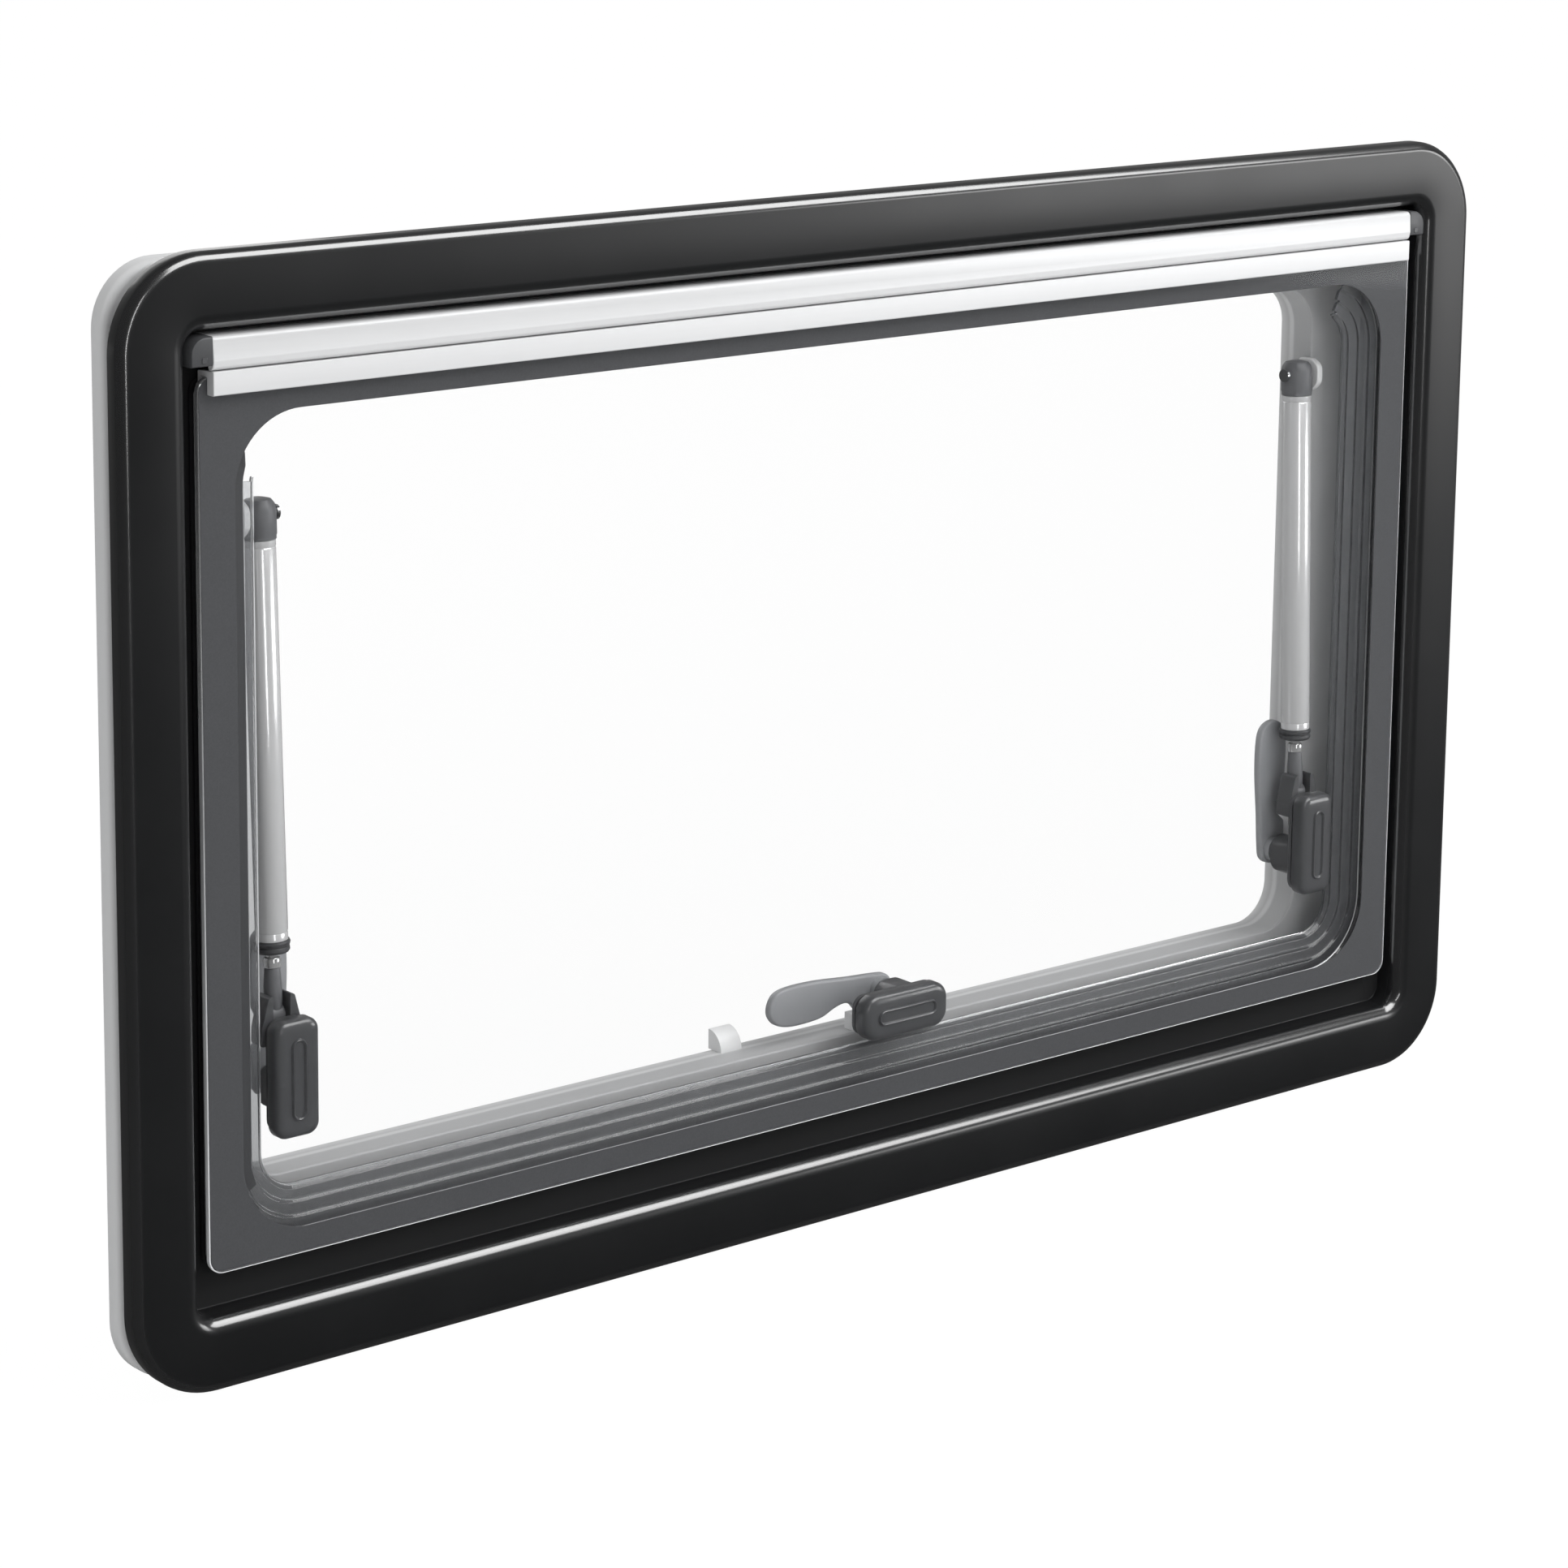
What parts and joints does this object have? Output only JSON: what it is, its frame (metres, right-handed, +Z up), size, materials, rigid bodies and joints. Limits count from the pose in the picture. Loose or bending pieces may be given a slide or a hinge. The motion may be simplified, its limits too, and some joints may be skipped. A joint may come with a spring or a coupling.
{
  "type": "caravan window",
  "caption": "Top-hung caravan window: black outer frame, double acrylic pane on an aluminium hinge, two telescopic stays, three turning latches and a white inner frame.",
  "frame": {"origin": "on the outer frame's seating face, in the middle of the width of its lower strip", "axes": "+X to the right seen from outside, +Y into the cabin, +Z up; the outside of the window faces -Y"},
  "size_m": [0.9, 0.068, 0.55],
  "materials": {
    "black_plastic": "satin black moulded foam skin",
    "white_plastic": "satin off-white",
    "seal_rubber": "matte black",
    "bond_rubber": "dark grey bonding strip",
    "aluminium": "silver anodised",
    "steel": "plated pins",
    "chrome_rod": "polished rod",
    "grey_plastic": "dark grey glass-filled plastic",
    "lever_plastic": "dark grey",
    "button_plastic": "mid grey",
    "clear_acrylic": "clear formed acrylic"
  },
  "bodies": {
    "frame": {"outer_frame": "black_plastic", "inner_ring": "white_plastic", "inner_body": "white_plastic", "frame_seal": "seal_rubber", "hinge_rail": "aluminium", "rail_cap_left": "grey_plastic", "rail_cap_right": "grey_plastic", "stay_lug_left": "white_plastic", "stay_lug_right": "white_plastic", "upper_pin_left": "steel", "upper_pin_right": "steel", "catch_left": "white_plastic", "catch_right": "white_plastic", "catch_lower": "white_plastic", "blind_clip": "white_plastic"},
    "sash": {"sash_profile": "aluminium", "outer_pane": "clear_acrylic", "bond_strip": "bond_rubber", "inner_pane": "clear_acrylic", "pad_left": "grey_plastic", "pad_right": "grey_plastic", "pad_lower": "grey_plastic", "latch_base_left": "grey_plastic", "latch_base_right": "grey_plastic", "latch_base_lower": "grey_plastic", "lower_pin_left": "steel", "lower_pin_right": "steel"},
    "left_tube": {"stay_cap_left": "grey_plastic", "stay_tube_left": "aluminium", "stay_collar_left": "grey_plastic"},
    "right_tube": {"stay_cap_right": "grey_plastic", "stay_tube_right": "aluminium", "stay_collar_right": "grey_plastic"},
    "left_rod": {"stay_rod_left": "chrome_rod", "rod_end_left": "grey_plastic"},
    "right_rod": {"stay_rod_right": "chrome_rod", "rod_end_right": "grey_plastic"},
    "left_latch": {"lever_left": "lever_plastic", "button_left": "button_plastic"},
    "right_latch": {"lever_right": "lever_plastic", "button_right": "button_plastic"},
    "lower_latch": {"lever_lower": "lever_plastic", "button_lower": "button_plastic"}
  },
  "joints": [
    {"name": "sash_hinge", "type": "hinge", "parent": "frame", "child": "sash", "pos_m": [0, -0.0072, 0.4853], "axis": [-1, 0, 0], "range_deg": [0, 40]},
    {"name": "left_tube_turn", "type": "hinge", "parent": "frame", "child": "left_tube", "pos_m": [-0.352, 0.029, 0.4035], "axis": [-1, 0, 0], "range_deg": [0, 49.46]},
    {"name": "right_tube_turn", "type": "hinge", "parent": "frame", "child": "right_tube", "pos_m": [0.352, 0.029, 0.4035], "axis": [-1, 0, 0], "range_deg": [0, 49.46]},
    {"name": "left_rod_turn", "type": "hinge", "parent": "sash", "child": "left_rod", "pos_m": [-0.352, 0.02, 0.1585], "axis": [-1, 0, 0], "range_deg": [0, 9.46]},
    {"name": "right_rod_turn", "type": "hinge", "parent": "sash", "child": "right_rod", "pos_m": [0.352, 0.02, 0.1585], "axis": [-1, 0, 0], "range_deg": [0, 9.46]},
    {"name": "left_latch_turn", "type": "hinge", "parent": "sash", "child": "left_latch", "pos_m": [-0.348, 0.033, 0.1215], "axis": [0, 1, 0], "range_deg": [0, 90]},
    {"name": "right_latch_turn", "type": "hinge", "parent": "sash", "child": "right_latch", "pos_m": [0.348, 0.033, 0.1215], "axis": [0, -1, 0], "range_deg": [0, 90]},
    {"name": "lower_latch_turn", "type": "hinge", "parent": "sash", "child": "lower_latch", "pos_m": [0.046, 0.033, 0.0925], "axis": [0, 1, 0], "range_deg": [0, 90]}
  ],
  "couplings": [
    {"joint": "left_tube_turn", "follows": "sash_hinge", "ratio": 1.229},
    {"joint": "right_tube_turn", "follows": "sash_hinge", "ratio": 1.229},
    {"joint": "left_rod_turn", "follows": "sash_hinge", "ratio": 0.229},
    {"joint": "right_rod_turn", "follows": "sash_hinge", "ratio": 0.229}
  ]
}
